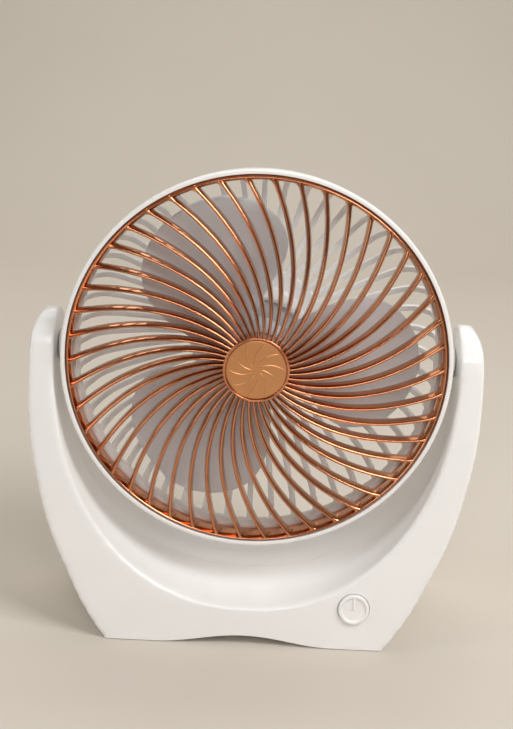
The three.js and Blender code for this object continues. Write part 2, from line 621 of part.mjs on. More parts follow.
function buildLead() {
  const tip = solid(box([-3.3, 3.3], [-8.6, 0.5], [-0.9, 0.9]));
  const grip = solid(roundedBar(10.4, 7, 2.4, 17));
  const relief = solid(turned([[0, 16], [3, 16], [2.2, 24.2], [0, 24.2]], 16));
  const plug = geometryOf(join(grip, tip, relief)).translate(SOCKET_X, 40.6, SOCKET_Z);
  add(root, "cord_plug", plug, CORD);
  add(root, "cord_lead", tube(LEAD, CORD_D / 2, 20), CORD);
  const inner = COIL_TURN_R - COIL_HALF_WIDTH;
  const outerR = COIL_TURN_R + COIL_HALF_WIDTH;
  const [low, high] = COIL_Z;
  const coil = turned([
    [inner, low + 1], [inner + 1, low], [outerR - 1, low], [outerR, low + 1], [outerR, high - 1],
    [outerR - 1, high], [inner + 1, high], [inner, high - 1],
  ], 24);
  add(root, "cord_coil", yToZ(coil).translate(COIL_X, COIL_Y, 0), CORD);
  add(root, "cord_tail", tube(TAIL, CORD_D / 2, 5), CORD);
  const tieX = [COIL_X - outerR, COIL_X - inner];
  const band = solid(box([tieX[0] - 0.8, tieX[1] + 1.5], [COIL_Y - 3, COIL_Y + 3], [0, high + 0.8]));
  const hollow = solid(box([tieX[0] - 0.3, tieX[1] + 0.9], [COIL_Y - 4, COIL_Y + 4], [0.5, high + 0.3]));
  add(root, "cord_tie", cut(band, hollow), DARK);
  const along = new THREE.Group();
  along.position.set(FAR_PLUG_X, FAR_PLUG_Y, FAR_PLUG_Z);
  along.rotation.z = -Math.PI / 2;
  root.add(along);
  add(along, "usb_a_plug_body", roundedBar(15.6, 7.8, 2, 18), CORD);
  const sleeve = solid(box([-6, 6], [18.3, 30], [-2.25, 2.25]));
  const opening = solid(box([-5.6, 5.6], [20, 31], [-1.85, 1.85]));
  const tongue = solid(box([-5.5, 5.5], [19, 29], [-1.85, 0]));
  add(along, "usb_a_plug_shell", join(cut(sleeve, opening), tongue), STEEL);
}

buildShells();
buildBottom();
buildElectronics();
buildPivots();
buildBezel();
buildGrille();
buildGuard();
buildMotor();
buildMotorLead();
buildImpeller();
buildLead();

export default root;
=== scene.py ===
"""Looks of a desk fan: U-shaped white stand, tilting head with a spiral plated grille, and its USB lead.

Lengths are written in millimetres and turned to metres when a mesh is made. The fan faces -Y. A point
of the head is given by its distance from the fan's axis, its clockwise angle from the top, and its
distance y behind the tilt axis.
"""
import json
import math

import bmesh
import bpy
import numpy as np
from mathutils import Matrix, Vector


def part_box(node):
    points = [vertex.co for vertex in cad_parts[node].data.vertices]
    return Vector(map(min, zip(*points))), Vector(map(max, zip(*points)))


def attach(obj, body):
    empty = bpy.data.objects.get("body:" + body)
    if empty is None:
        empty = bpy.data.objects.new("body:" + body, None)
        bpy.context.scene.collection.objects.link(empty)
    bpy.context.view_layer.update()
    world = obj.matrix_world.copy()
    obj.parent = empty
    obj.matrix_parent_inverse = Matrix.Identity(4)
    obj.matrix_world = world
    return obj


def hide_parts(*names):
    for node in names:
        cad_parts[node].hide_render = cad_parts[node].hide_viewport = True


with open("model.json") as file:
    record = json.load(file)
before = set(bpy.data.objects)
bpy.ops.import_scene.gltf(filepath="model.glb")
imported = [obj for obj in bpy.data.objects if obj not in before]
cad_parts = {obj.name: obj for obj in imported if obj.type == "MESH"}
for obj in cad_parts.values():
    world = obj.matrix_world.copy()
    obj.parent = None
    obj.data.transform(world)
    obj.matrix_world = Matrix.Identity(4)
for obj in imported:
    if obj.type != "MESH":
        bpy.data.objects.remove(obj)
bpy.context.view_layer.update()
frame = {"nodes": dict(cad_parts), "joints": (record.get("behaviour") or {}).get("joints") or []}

MM = 0.001
JOINTS = {joint["name"]: joint for joint in frame["joints"]}
PIVOT = np.array(JOINTS["head_tilt"]["pos_m"]) / MM
GAP = 0.3


def box_mm(node):
    low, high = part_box(node)
    return np.array(low) / MM, np.array(high) / MM


# ---------------------------------------------------------------- camera, floor and lights
def make_camera():
    """The camera looks a little down on the fan from in front, and is rolled slightly."""
    pitch, roll = math.radians(17.4), math.radians(2.75)
    forward = Vector((0, math.cos(pitch), -math.sin(pitch)))
    level = Vector((1, 0, 0))
    upright = level.cross(forward)
    right = level * math.cos(roll) + upright * math.sin(roll)
    up = upright * math.cos(roll) - level * math.sin(roll)
    data = bpy.data.cameras.new("camera")
    data.sensor_width = 36
    data.lens = 59.3
    camera = bpy.data.objects.new("camera", data)
    axes = Matrix((right, up, -forward)).transposed().to_4x4()
    camera.matrix_world = Matrix.Translation((0, -0.5706, 0.3105)) @ axes
    bpy.context.scene.collection.objects.link(camera)
    bpy.context.scene.camera = camera


def area_light(name, place, size, power, colour=(1, 1, 1), target=(0, 0, 0.11)):
    data = bpy.data.lights.new(name, "AREA")
    data.shape = "RECTANGLE"
    data.size, data.size_y = size
    data.energy = power
    data.color = colour
    light = bpy.data.objects.new(name, data)
    light.location = place
    aim = Vector(target) - Vector(place)
    light.rotation_euler = aim.to_track_quat("-Z", "Y").to_euler()
    bpy.context.scene.collection.objects.link(light)


def make_studio():
    world = bpy.data.worlds.new("studio")
    world.use_nodes = True
    background = world.node_tree.nodes["Background"]
    background.inputs["Color"].default_value = (0.86, 0.8, 0.73, 1)
    background.inputs["Strength"].default_value = 0.16
    bpy.context.scene.world = world
    bpy.context.scene.view_settings.view_transform = "Standard"
    area_light("key", (0.62, -0.42, 0.85), (0.5, 0.5), 8.5, (0.98, 0.99, 1))
    area_light("front", (0.1, -1.1, 0.7), (0.7, 0.3), 4.6, (1, 0.97, 0.96), (0, 0, 0.13))
    area_light("fill", (-0.95, -0.3, 0.5), (0.4, 0.7), 3.0, (0.97, 0.98, 1))
    area_light("back", (-0.1, 0.75, 0.95), (1.2, 0.5), 3.2, (1, 0.98, 0.96))
    area_light("wall", (0, 0.45, 1.5), (1.6, 0.4), 9.0, (1, 0.99, 0.97), (0, 1.3, 0.75))
    # A floor that curves up into a wall.
    steps = 16
    bend, far, tall, wide = 0.5, 1.3, 2.2, 4.0
    line = [(-2.5, 0.0), (far - bend, 0.0)]
    for i in range(1, steps + 1):
        angle = math.pi / 2 * i / steps
        line.append((far - bend + bend * math.sin(angle), bend - bend * math.cos(angle)))
    line.append((far, tall))
    points = [(side * wide, y, z) for y, z in line for side in (-1, 1)]
    faces = [(2 * i, 2 * i + 1, 2 * i + 3, 2 * i + 2) for i in range(len(line) - 1)]
    mesh = bpy.data.meshes.new("floor")
    mesh.from_pydata(points, [], faces)
    mesh.shade_smooth()
    floor = bpy.data.objects.new("floor", mesh)
    floor.data.materials.append(floor_material())
    bpy.context.scene.collection.objects.link(floor)


# ---------------------------------------------------------------- materials
def graph(name):
    """A new material, its principled shader, and functions that add a node and link two sockets."""
    material = bpy.data.materials.new(name)
    material.use_nodes = True
    tree = material.node_tree
    shader = tree.nodes["Principled BSDF"]

    def node(kind, **values):
        made = tree.nodes.new(kind)
        for key, value in values.items():
            if key in made.inputs:
                made.inputs[key].default_value = value
            else:
                setattr(made, key, value)
        return made

    return material, shader, node, tree.links.new


def moulded(
        name, light, dark, roughness, spread, metallic=0.0, blotch=25.0, grain=700.0, bump=0.02,
        coat=0.0):
    """A surface whose colour and roughness drift a little, with a fine moulded grain."""
    material, shader, node, link = graph(name)
    shader.inputs["Metallic"].default_value = metallic
    shader.inputs["Coat Weight"].default_value = coat
    shader.inputs["Coat Roughness"].default_value = 0.12
    place = node("ShaderNodeTexCoord")
    drift = node("ShaderNodeTexNoise", Scale=blotch, Detail=4.0, Roughness=0.55)
    link(place.outputs["Object"], drift.inputs["Vector"])
    colours = node("ShaderNodeValToRGB")
    colours.color_ramp.elements[0].position = 0.3
    colours.color_ramp.elements[0].color = (*dark, 1)
    colours.color_ramp.elements[1].position = 0.7
    colours.color_ramp.elements[1].color = (*light, 1)
    link(drift.outputs["Fac"], colours.inputs["Fac"])
    link(colours.outputs["Color"], shader.inputs["Base Color"])
    rough = node("ShaderNodeMapRange")
    rough.inputs["To Min"].default_value = roughness
    rough.inputs["To Max"].default_value = roughness + spread
    wear = node("ShaderNodeTexNoise", Scale=4.3 * blotch, Detail=6.0)
    link(place.outputs["Object"], wear.inputs["Vector"])
    link(wear.outputs["Fac"], rough.inputs["Value"])
    link(rough.outputs["Result"], shader.inputs["Roughness"])
    fine = node("ShaderNodeTexNoise", Scale=grain, Detail=3.0)
    link(place.outputs["Object"], fine.inputs["Vector"])
    relief = node("ShaderNodeBump", Strength=bump, Distance=0.0006)
    link(fine.outputs["Fac"], relief.inputs["Height"])
    link(relief.outputs["Normal"], shader.inputs["Normal"])
    return material


def spun_metal(name, light, dark, centre):
    """Satin metal with fine rings about an axis along Y through centre."""
    material, shader, node, link = graph(name)
    shader.inputs["Metallic"].default_value = 1.0
    place = node("ShaderNodeTexCoord")
    shift = node("ShaderNodeMapping")
    shift.inputs["Location"].default_value = [-c * MM for c in centre]
    link(place.outputs["Object"], shift.inputs["Vector"])
    split = node("ShaderNodeSeparateXYZ")
    link(shift.outputs["Vector"], split.inputs["Vector"])
    flat = node("ShaderNodeCombineXYZ")
    link(split.outputs["X"], flat.inputs["X"])
    link(split.outputs["Z"], flat.inputs["Y"])
    radius = node("ShaderNodeVectorMath", operation="LENGTH")
    link(flat.outputs["Vector"], radius.inputs[0])
    rings = node("ShaderNodeTexNoise", noise_dimensions="1D", Scale=9000.0, Detail=2.0)
    link(radius.outputs["Value"], rings.inputs["W"])
    drift = node("ShaderNodeTexNoise", Scale=90.0, Detail=3.0)
    link(place.outputs["Object"], drift.inputs["Vector"])
    colours = node("ShaderNodeValToRGB")
    colours.color_ramp.elements[0].color = (*dark, 1)
    colours.color_ramp.elements[1].color = (*light, 1)
    link(drift.outputs["Fac"], colours.inputs["Fac"])
    link(colours.outputs["Color"], shader.inputs["Base Color"])
    rough = node("ShaderNodeMapRange")
    rough.inputs["To Min"].default_value = 0.3
    rough.inputs["To Max"].default_value = 0.46
    link(rings.outputs["Fac"], rough.inputs["Value"])
    link(rough.outputs["Result"], shader.inputs["Roughness"])
    relief = node("ShaderNodeBump", Strength=0.05, Distance=0.0003)
    link(rings.outputs["Fac"], relief.inputs["Height"])
    link(relief.outputs["Normal"], shader.inputs["Normal"])
    return material


def floor_material():
    return moulded(
        "floor", (0.6, 0.545, 0.47), (0.575, 0.52, 0.445), 0.75, 0.1, blotch=3.0, grain=260.0,
        bump=0.05)


def make_materials():
    badge_centre = (box_mm("grille_badge")[0] + box_mm("grille_badge")[1]) / 2
    return {
        "white": moulded("white_abs", (0.83, 0.815, 0.795), (0.8, 0.785, 0.765), 0.26, 0.1, coat=0.25),
        "inner": moulded("white_satin", (0.74, 0.73, 0.71), (0.69, 0.68, 0.66), 0.42, 0.14, bump=0.05),
        # Blades: their own pale plastic colour, painted lighter as painted light for the dim inside of the
        # head.
        "blade": moulded("blade_plastic", (0.8, 0.86, 0.9), (0.76, 0.82, 0.86), 0.36, 0.12, bump=0.03),
        # Rear guard: the same white plastic as the stand, painted lighter as painted light for ribs that sit
        # in shade inside the head.
        "guard": moulded("guard_abs_painted_light", (0.9, 0.885, 0.865), (0.87, 0.855, 0.835), 0.3, 0.1, coat=0.2),
        "copper": moulded(
            "rose_gold_plate", (0.66, 0.29, 0.15), (0.56, 0.235, 0.115), 0.09, 0.07, metallic=1.0,
            blotch=40.0, grain=240.0, bump=0.04),
        "badge": spun_metal("spun_copper", (0.74, 0.37, 0.17), (0.66, 0.31, 0.13), badge_centre),
        "steel": moulded(
            "zinc_steel", (0.62, 0.63, 0.65), (0.48, 0.49, 0.51), 0.26, 0.2, metallic=1.0, bump=0.08),
        "rubber": moulded("rubber", (0.045, 0.045, 0.048), (0.03, 0.03, 0.032), 0.78, 0.15, bump=0.2),
        "board": moulded("solder_mask", (0.03, 0.2, 0.08), (0.02, 0.14, 0.055), 0.38, 0.2, blotch=120.0),
        "dark": moulded("dark_nylon", (0.06, 0.06, 0.065), (0.04, 0.04, 0.044), 0.5, 0.15, bump=0.08),
        "cord": moulded(
            "white_pvc", (0.8, 0.795, 0.785), (0.76, 0.755, 0.745), 0.42, 0.12, grain=420.0, bump=0.05),
    }


# ---------------------------------------------------------------- mesh helpers
class Form:
    """Points in millimetres and faces, gathered from simple skins."""

    def __init__(self):
        self.points = []
        self.faces = []

    def add(self, points, faces):
        start = len(self.points)
        self.points.extend(tuple(p) for p in points)
        self.faces.extend(tuple(start + i for i in face) for face in faces)
        return self


def skinned(rings, caps=True):
    """Faces that join closed rings of points one after another."""
    rings = [[tuple(p) for p in ring] for ring in rings]
    count = len(rings[0])
    faces = []
    for i in range(len(rings) - 1):
        for j in range(count):
            a, b = i * count + j, i * count + (j + 1) % count
            faces.append((a, b, b + count, a + count))
    if caps:
        last = (len(rings) - 1) * count
        faces.append(tuple(reversed(range(count))))
        faces.append(tuple(range(last, last + count)))
    return [p for ring in rings for p in ring], faces


def filleted(corners, steps=5):
    """A closed outline from (a, b, fillet) corners, each rounded over its fillet length."""
    line = []
    count = len(corners)
    for i, (a, b, *rest) in enumerate(corners):
        corner = np.array((a, b), float)
        radius = rest[0] if rest else 0
        if not radius:
            line.append(tuple(corner))
            continue
        before = np.array(corners[i - 1][:2], float) - corner
        after = np.array(corners[(i + 1) % count][:2], float) - corner
        reach_b = min(radius, 0.48 * np.linalg.norm(before)) / np.linalg.norm(before)
        reach_a = min(radius, 0.48 * np.linalg.norm(after)) / np.linalg.norm(after)
        start, end = corner + before * reach_b, corner + after * reach_a
        for k in range(steps + 1):
            t = k / steps
            line.append(tuple((1 - t) ** 2 * start + 2 * t * (1 - t) * corner + t**2 * end))
    return line


def turned(corners, segments=160, steps=5):
    """A closed profile of (radius, y, fillet) corners, turned about the Y axis."""
    profile = filleted(corners, steps)
    count = len(profile)
    points, faces = [], []
    for i in range(segments):
        angle = 2 * math.pi * i / segments
        points.extend((r * math.sin(angle), y, r * math.cos(angle)) for r, y in profile)
        for j in range(count):
            here, there = i * count, (i + 1) % segments * count
            k = (j + 1) % count
            if profile[j][0] < 1e-6 and profile[k][0] < 1e-6:
                continue
            faces.append((here + j, here + k, there + k, there + j))
    return points, faces


def moved(points, place=(0, 0, 0), turn=None):
    """Points turned by a matrix, then moved."""
    turn = np.eye(3) if turn is None else np.array(turn)
    return [tuple(turn @ np.array(p, float) + np.array(place, float)) for p in points]


def make_mesh(name, form, tidy=True):
    mesh = bpy.data.meshes.new(name)
    mesh.from_pydata([tuple(c * MM for c in p) for p in form.points], [], form.faces)
    if tidy:
        work = bmesh.new()
        work.from_mesh(mesh)
        bmesh.ops.remove_doubles(work, verts=work.verts, dist=1e-6)
        bmesh.ops.dissolve_degenerate(work, edges=work.edges, dist=1e-7)
        bmesh.ops.recalc_face_normals(work, faces=work.faces)
        work.to_mesh(mesh)
        work.free()
    return mesh


def finish_piece(obj, material, body, stands_for=(), sharp=40):
    obj.data.shade_smooth()
    obj.data.set_sharp_from_angle(angle=math.radians(sharp))
    obj.data.materials.clear()
    obj.data.materials.append(MATERIALS[material])
    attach(obj, body)
    if stands_for:
        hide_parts(*([stands_for] if isinstance(stands_for, str) else stands_for))
    return obj


def new_object(name, mesh):
    obj = bpy.data.objects.new(name, mesh)
    bpy.context.scene.collection.objects.link(obj)
    return obj


def piece(name, form, material, body, stands_for=(), sharp=40):
    return finish_piece(new_object(name, make_mesh(name, form)), material, body, stands_for, sharp)


def applied(obj):
    """The object's mesh with its modifiers applied, as a new mesh."""
    graph_now = bpy.context.evaluated_depsgraph_get()
    mesh = bpy.data.meshes.new_from_object(obj.evaluated_get(graph_now))
    obj.modifiers.clear()
    obj.data = mesh
    return obj


def boolean(obj, other, operation):
    step = obj.modifiers.new("boolean", "BOOLEAN")
    step.operation = operation
    step.object = other
    step.solver = "EXACT"
    applied(obj)
    bpy.data.objects.remove(other)
    return obj


def polar(r, angle, y):
    return np.array((r * math.sin(angle), y, r * math.cos(angle)))


def catmull(points, per_span):
    """A smooth line through points."""
    points = [np.array(p, float) for p in points]
    padded = [2 * points[0] - points[1], *points, 2 * points[-1] - points[-2]]
    line = []
    for i in range(1, len(padded) - 2):
        a, b, c, d = padded[i - 1 : i + 3]
        for k in range(per_span):
            t = k / per_span
            line.append(
                0.5 * (2 * b + (c - a) * t + (2 * a - 5 * b + 4 * c - d) * t**2
                       + (3 * b - a - 3 * c + d) * t**3))
    line.append(points[-1])
    return line


def on_head(points):
    return moved(points, PIVOT)


# ---------------------------------------------------------------- USB lead
CORD_D = 3.3
LEAD = [
    (28, 65.4, 12.4), (28, 69, 12), (27.6, 73, 10), (26.4, 77.4, 6.6), (23.8, 82, 3.6), (19.6, 86.4, 2),
    (14, 90, 1.7), (6, 93, 1.7), (-4, 94.5, 1.8), (-15, 95.05, 2.2), (-26, 94.6, 2.5),
]
TAIL = [(-25, 50.2, 5.9), (-20, 51.7, 5.4), (-15, 53, 4.7), (-11.6, 53.8, 4.3), (-9.6, 54, 4.2)]
COIL_CENTRE = (-40, 71.5)
COIL_RADII = [22.5, 19.05, 15.6, 12.15]
COIL_HEIGHTS = [2.5, 5.85]


def ease(x):
    x = min(max(x, 0.0), 1.0)
    return 0.5 - 0.5 * math.cos(math.pi * x)


def coil_point(turn_angle):
    """The cord's middle after that many degrees in the coil: four turns inwards, then out on top."""
    turns = len(COIL_RADII)
    pitch = COIL_RADII[0] - COIL_RADII[1]
    climb = 360 * turns
    low, high = COIL_HEIGHTS
    if turn_angle <= climb:
        radius = COIL_RADII[0] - pitch * sum(ease((turn_angle - 360 * k) / 100) for k in range(1, turns))
        height = low + (high - low) * ease((turn_angle - climb + 100) / 100)
    else:
        above = turn_angle - climb
        steps = sum(ease((above - 160 - 360 * k) / 100) for k in range(turns - 1))
        radius, height = COIL_RADII[-1] + pitch * steps, high
    angle = math.radians(90 + turn_angle)
    x, y = COIL_CENTRE
    return (x + radius * math.cos(angle), y + radius * math.sin(angle), height)


def cord_path():
    end = 360 * len(COIL_RADII) + 360 * 3 + 180
    first, last = 20, end - 10
    count = (last - first) // 10
    coil = [coil_point(first + (last - first) * i / count) for i in range(count + 1)]
    lead = catmull([*LEAD, coil[0]], 4)[:-1]
    tail = catmull([coil[-1], *TAIL], 4)[1:]
    return [tuple(p) for p in (*lead, *coil, *tail)]


def length_of(path):
    return sum(math.dist(a, b) for a, b in zip(path, path[1:])) * MM


def make_cord():
    path = cord_path()
    print("cord path", round(length_of(path), 4), "m")
    curve = bpy.data.curves.new("usb_lead", "CURVE")
    curve.dimensions = "3D"
    curve.bevel_depth = CORD_D / 2 * MM
    curve.bevel_resolution = 4
    curve.use_fill_caps = True
    spline = curve.splines.new("POLY")
    spline.points.add(len(path) - 1)
    for point, place in zip(spline.points, path):
        point.co = (*(c * MM for c in place), 1)
    spline.use_smooth = True
    curve.materials.append(MATERIALS["cord"])
    cord = bpy.data.objects.new("usb_lead", curve)
    bpy.context.scene.collection.objects.link(cord)
    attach(cord, "stand")
    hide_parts("cord_lead", "cord_coil", "cord_tail")
    pieces = [make_inlet_plug(), *make_far_plug(), make_tie()]


def bar_section(width, height, corner, steps=6):
    w, h = width / 2, height / 2
    return filleted([(-w, -h, corner), (w, -h, corner), (w, h, corner), (-w, h, corner)], steps)


def bar(stations, width, height, corner):
    """A bar along Y whose rounded section is scaled at each (y, scale) station."""
    rings = []
    for y, scale in stations:
        shrink = (1 - scale) * min(width, height)
        section = bar_section(width - shrink, height - shrink, corner * scale)
        rings.append([(x, y, z) for x, z in section])
    return skinned(rings)


def grip_stations(length, ridges):
    """A moulded grip: softened ends and a few shallow grooves near the cable's end."""
    stations = [(0, 0.8), (0.35, 0.93), (1.0, 1.0), (length * 0.42, 1.0)]
    start, step = length * 0.46, length * 0.12
    for i in range(ridges):
        y = start + i * step
        stations += [(y, 1.0), (y + 0.3, 0.93), (y + 0.9, 0.93), (y + 1.2, 1.0)]
    return [*stations, (length - 1.2, 0.98), (length - 0.4, 0.9), (length, 0.74)]


def make_inlet_plug():
    low, high = box_mm("cord_plug")
    middle = (low + high) / 2
    tip, relief = 8.6, 7.2
    grip = high[1] - low[1] - tip - relief
    form = Form()
    form.add(*bar(grip_stations(grip, 3), high[0] - low[0], high[2] - low[2], 2.6))
    form.add(*bar([(-tip, 0.9), (-tip + 0.4, 1), (0.5, 1)], 6.6, 1.8, 0.8))
    collar = [(0, grip - 1, 0), (3.0, grip - 1, 0.3)]
    for i in range(4):
        y = grip + 0.3 + i * 1.7
        wide = 2.95 - 0.2 * i
        collar += [
            (wide, y, 0.2), (wide - 0.45, y + 0.4, 0.2), (wide - 0.5, y + 0.9, 0.2),
            (wide - 0.1, y + 1.3, 0.2)]
    collar += [(2.1, grip + relief, 0.2), (0, grip + relief, 0)]
    form.add(*turned(collar, 40, 3))
    form.points = moved(form.points, (middle[0], low[1] + tip, middle[2]))
    return piece("inlet_plug", form, "cord", "stand", "cord_plug")


def make_far_plug():
    low, high = box_mm("usb_a_plug_body")
    along_x = Matrix.Rotation(math.radians(90), 3, "Z")
    middle = (low + high) / 2
    length = high[0] - low[0]
    form = Form()
    form.add(*bar(grip_stations(length, 3), high[1] - low[1], high[2] - low[2], 2.4))
    # The stations run from the shell end towards the cord.
    form.points = moved(form.points, (high[0], middle[1], middle[2]), along_x)
    grip = piece("usb_a_grip", form, "cord", "stand", "usb_a_plug_body")
    low, high = box_mm("usb_a_plug_shell")
    length = high[0] - low[0]
    wide, tall, wall = high[1] - low[1], high[2] - low[2], 0.35
    outer = [bar_section(wide, tall, 0.5), bar_section(wide - 2 * wall, tall - 2 * wall, 0.4)]
    rings = [
        [(x, 0, z) for x, z in outer[0]], [(x, length, z) for x, z in outer[0]],
        [(x, length, z) for x, z in outer[1]], [(x, 1.5, z) for x, z in outer[1]],
    ]
    form = Form().add(*skinned(rings))
    tongue = [(1.4, 1), (length - 1.2, 1), (length - 0.8, 0.8)]
    points, faces = bar(tongue, wide - 1.4, 1.7, 0.2)
    form.add(moved(points, (0, 0, -0.8)), faces)
    away = Matrix.Rotation(math.radians(-90), 3, "Z")
    form.points = moved(form.points, (low[0], middle[1], middle[2]), away)
    shell = piece("usb_a_shell", form, "steel", "stand", "usb_a_plug_shell")
    return grip, shell


def make_tie():
    """A flat strap round one side of the coil."""
    low, high = box_mm("cord_tie")
    middle = (low + high) / 2
    wide, tall = high[0] - low[0], high[2] - low[2]
    count = 6
    rings = []
    for i in range(count + 1):
        y = -2.6 + 5.2 * i / count
        thin = 0.25 if i in (0, count) else 0.0
        outline = bar_section(wide - 2 * thin, tall - 2 * thin, 2.2)
        rings.append([(x, y, z) for x, z in outline])
    inner = [[(x, ring[0][1], z) for x, z in bar_section(wide - 1.3, tall - 0.9, 1.9)] for ring in rings]
    form = Form()
    form.add(*skinned([*rings, *reversed(inner), rings[0]], caps=False))
    form.points = moved(form.points, middle)
    return piece("cord_strap", form, "dark", "stand", "cord_tie")


# ---------------------------------------------------------------- stand
FOOT_Y = (-45.0, 45.0)
SHELL_Z = 0.4
ARM_TOP_R = 19.0
FOOT_FLARE = 0.72
SLOT_HALF_WIDTH = 97.0
BOWL_DEPTH, BOWL_FLARE, BOWL_POWER = 115.0, 0.115, 2.2
ARCH_HEIGHT, ARCH_HALF_WIDTH = 4.6, 44.0
WALL = 2.6
SEAM = 0.12  # between the two shells
BUTTON_Z = 21.0
SIDE = [
    (69, 0), (78.2, 13), (89.8, 36), (98.6, 57), (104.6, 80), (108.4, 102), (109.5, 124),
    (109.1, 140), (108.2, 150), (105.6, 156), (102.5, 158),
]


def front_outline(inset, below):
    """The stand's outline seen from the front, moved in by inset and continued below its lower edge."""
    side = [(x - 1.2 * inset, z) for x, z in SIDE]
    side[0] = (side[0][0] - FOOT_FLARE * below, SHELL_Z - below)
    side[-1] = (side[-1][0], PIVOT[2] + ARM_TOP_R)
    right = [tuple(p) for p in catmull(side, 8)]
    return right + [(-x, z) for x, z in reversed(right)]


def face_angle(foot_y):
    away = foot_y - PIVOT[1]
    rise = SHELL_Z - PIVOT[2]
    return math.atan2(rise, away) + math.copysign(math.acos(ARM_TOP_R / math.hypot(away, rise)), away)


def face_y(foot_y, inset, z):
    angle = face_angle(foot_y)
    return PIVOT[1] + (ARM_TOP_R - inset - math.sin(angle) * (z - PIVOT[2])) / math.cos(angle)


def side_outline(inset, below):
    low = SHELL_Z - below
    line = [(face_y(FOOT_Y[0], inset, low), low), (face_y(FOOT_Y[1], inset, low), low)]
    start, end = face_angle(FOOT_Y[1]), face_angle(FOOT_Y[0]) + 2 * math.pi
    for i in range(33):
        angle = start + (end - start) * i / 32
        radius = ARM_TOP_R - inset
        line.append((PIVOT[1] + radius * math.cos(angle), PIVOT[2] + radius * math.sin(angle)))
    return line


def bowl_form(outset):
    steps = 96
    outline = []
    for i in range(steps + 1):
        angle = math.pi * i / steps
        across, down = math.cos(angle), math.sin(angle)
        x = -(SLOT_HALF_WIDTH + outset) * math.copysign(abs(across) ** (2 / BOWL_POWER), across)
        outline.append((x, -(max(down, 0.0) ** (2 / BOWL_POWER))))
    rings = []
    for y in (-60, 60):
        depth = BOWL_DEPTH + outset - BOWL_FLARE * y
        ring = [(x, y, PIVOT[2] + z * depth) for x, z in outline]
        half = SLOT_HALF_WIDTH + outset
        rings.append([*ring, (half, y, PIVOT[2] + 60), (-half, y, PIVOT[2] + 60)])
    return Form().add(*skinned(rings))


def stand_solid(name, inset, below):
    front = [[(x, y, z) for x, z in front_outline(inset, below)] for y in (-60, 60)]
    side = [[(x, y, z) for y, z in side_outline(inset, below)] for x in (-130, 130)]
    body = new_object(name, make_mesh(name, Form().add(*skinned(front))))
    across = new_object("across", make_mesh("across", Form().add(*skinned(side))))
    boolean(body, across, "INTERSECT")
    bowl = new_object("bowl", make_mesh("bowl", bowl_form(inset)))
    return boolean(body, bowl, "DIFFERENCE")


def floor_form():
    """What lies below the stand's lower edge and its shallow arch."""
    outline = [(-130, -40), (-130, SHELL_Z)]
    for i in range(49):
        x = ARCH_HALF_WIDTH * (i / 24 - 1)
        outline.append((x, SHELL_Z + ARCH_HEIGHT * (0.5 + 0.5 * math.cos(math.pi * x / ARCH_HALF_WIDTH))))
    outline += [(130, SHELL_Z), (130, -40)]
    return Form().add(*skinned([[(x, y, z) for x, z in outline] for y in (-70, 70)]))


def button_turn():
    """The turn and place of the button's own frame, whose Y axis points into the stand."""
    low, high = box_mm("switch_board")
    lean = math.pi + face_angle(FOOT_Y[0])
    x = (low[0] + high[0]) / 2
    return Matrix.Rotation(lean, 3, "X"), (x, face_y(FOOT_Y[0], 0, BUTTON_Z), BUTTON_Z)


def hole_form():
    form = Form()
    turn, place = button_turn()
    points, faces = turned([(0, -5), (8.0, -5), (8.0, 8), (0, 8)], 64)
    form.add(moved(points, place, turn), faces)
    bore = [(0, 90), (5.9, 90), (5.9, 101.9), (0, 101.9)]
    points, faces = turned(bore, 48)
    for side in (-1, 1):
        turn = Matrix.Rotation(math.radians(-90 * side), 3, "Z")
        form.add(moved(points, PIVOT, turn), faces)
    low, high = box_mm("cord_plug")
    centre = (low + high) / 2
    points, faces = bar([(0, 1), (25, 1)], 12, 8.4, 3)
    form.add(moved(points, (centre[0], 36, centre[2])), faces)
    return form


def half_of(mesh, name, y, keep_front):
    """The part of a mesh in front of, or behind, a plane across Y, with its cut closed."""
    work = bmesh.new()
    work.from_mesh(mesh)
    parts = work.verts[:] + work.edges[:] + work.faces[:]
    normal = (0, 1 if keep_front else -1, 0)
    done = bmesh.ops.bisect_plane(
        work, geom=parts, plane_co=(0, y * MM, 0), plane_no=normal, clear_outer=True)
    edges = [e for e in done["geom_cut"] if isinstance(e, bmesh.types.BMEdge)]
    bmesh.ops.triangle_fill(work, use_beauty=True, use_dissolve=False, edges=edges)
    half = bpy.data.meshes.new(name)
    work.to_mesh(half)
    work.free()
    return half


def make_stand():
    """Both shells: a solid form is softened all over, then hollowed and cut off flat below."""
    body = stand_solid("stand", 0, 14)
    remesh = body.modifiers.new("remesh", "REMESH")
    remesh.mode = "VOXEL"
    remesh.voxel_size = 1.0 * MM
    soften = body.modifiers.new("soften", "SMOOTH")
    soften.factor = 0.5
    soften.iterations = 20
    applied(body)
    boolean(body, stand_solid("cavity", WALL, 18), "DIFFERENCE")
    boolean(body, new_object("floor_cut", make_mesh("floor_cut", floor_form())), "DIFFERENCE")
    holes = new_object("holes", make_mesh("holes", hole_form()))
    boolean(body, holes, "DIFFERENCE")
    for name, front in (("front_shell", True), ("rear_shell", False)):
        node = "base_" + name
        offset = -SEAM / 2 if front else SEAM / 2
        half = new_object(name, half_of(body.data, name, PIVOT[1] + offset, front))
        finish_piece(half, "white", "stand", node, sharp=50)
    bpy.data.objects.remove(body)


